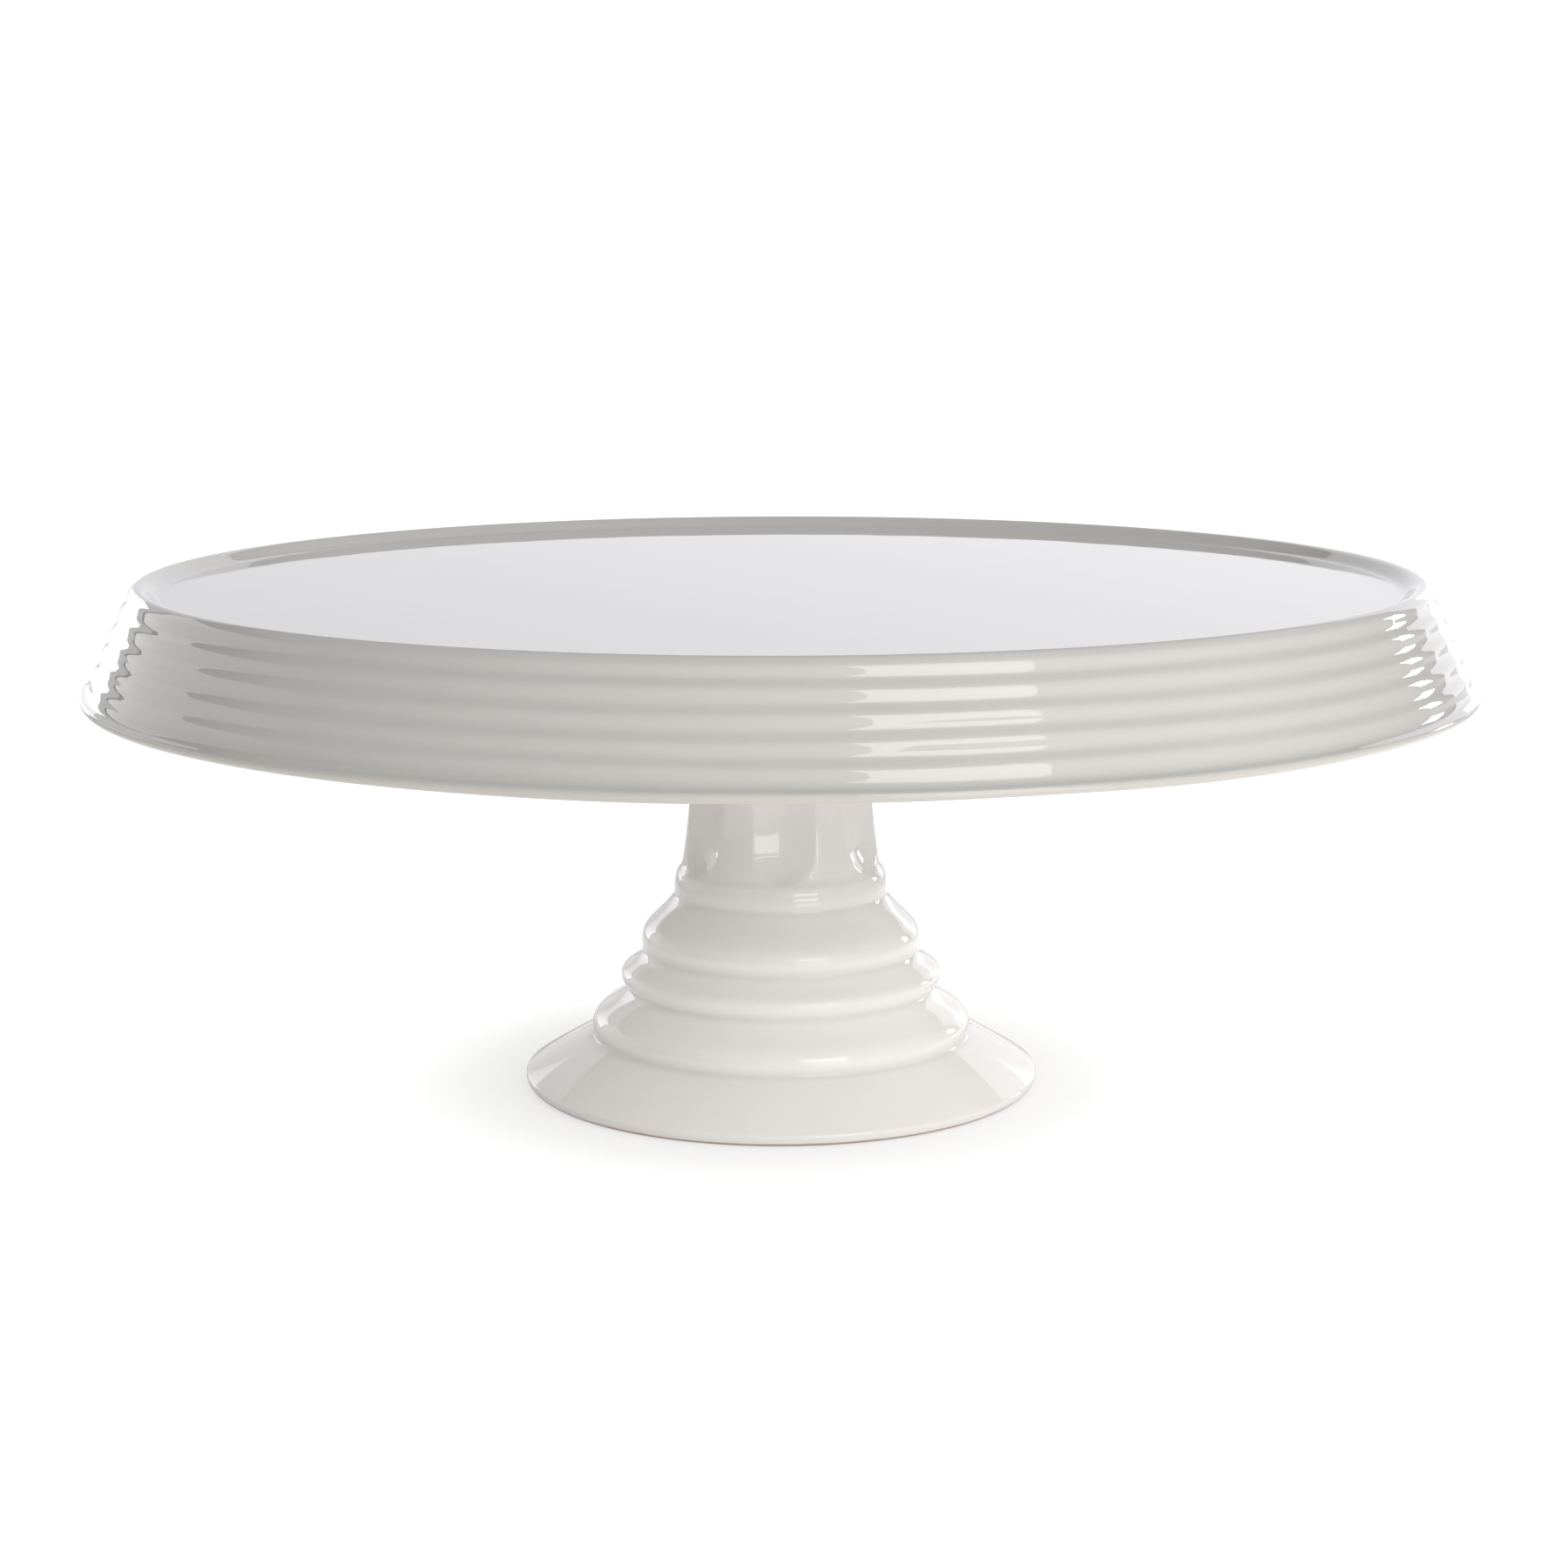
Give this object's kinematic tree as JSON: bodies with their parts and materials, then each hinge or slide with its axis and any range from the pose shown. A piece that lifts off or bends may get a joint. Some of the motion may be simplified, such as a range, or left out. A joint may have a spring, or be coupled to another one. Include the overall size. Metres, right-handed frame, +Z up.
{
  "type": "footed cake stand",
  "caption": "Round footed cake stand with a shallow rimmed deck, a ripple-turned down-turned skirt and a hollow fluted pedestal.",
  "frame": {"origin": "centre of the foot's bottom, on the table", "axes": "+Z up along the turning axis, -Y towards the front, where one flute of the neck faces"},
  "size_m": [0.318, 0.318, 0.12],
  "materials": {
    "plate_glaze": "clear gloss glaze over white porcelain",
    "pedestal_glaze": "clear gloss glaze over white porcelain, bare ring under the foot",
    "seam_glaze": "gloss glaze pooled in a slip fillet"
  },
  "bodies": {
    "root": {"plate": "plate_glaze", "pedestal": "pedestal_glaze", "slip_seam": "seam_glaze"}
  },
  "joints": []
}
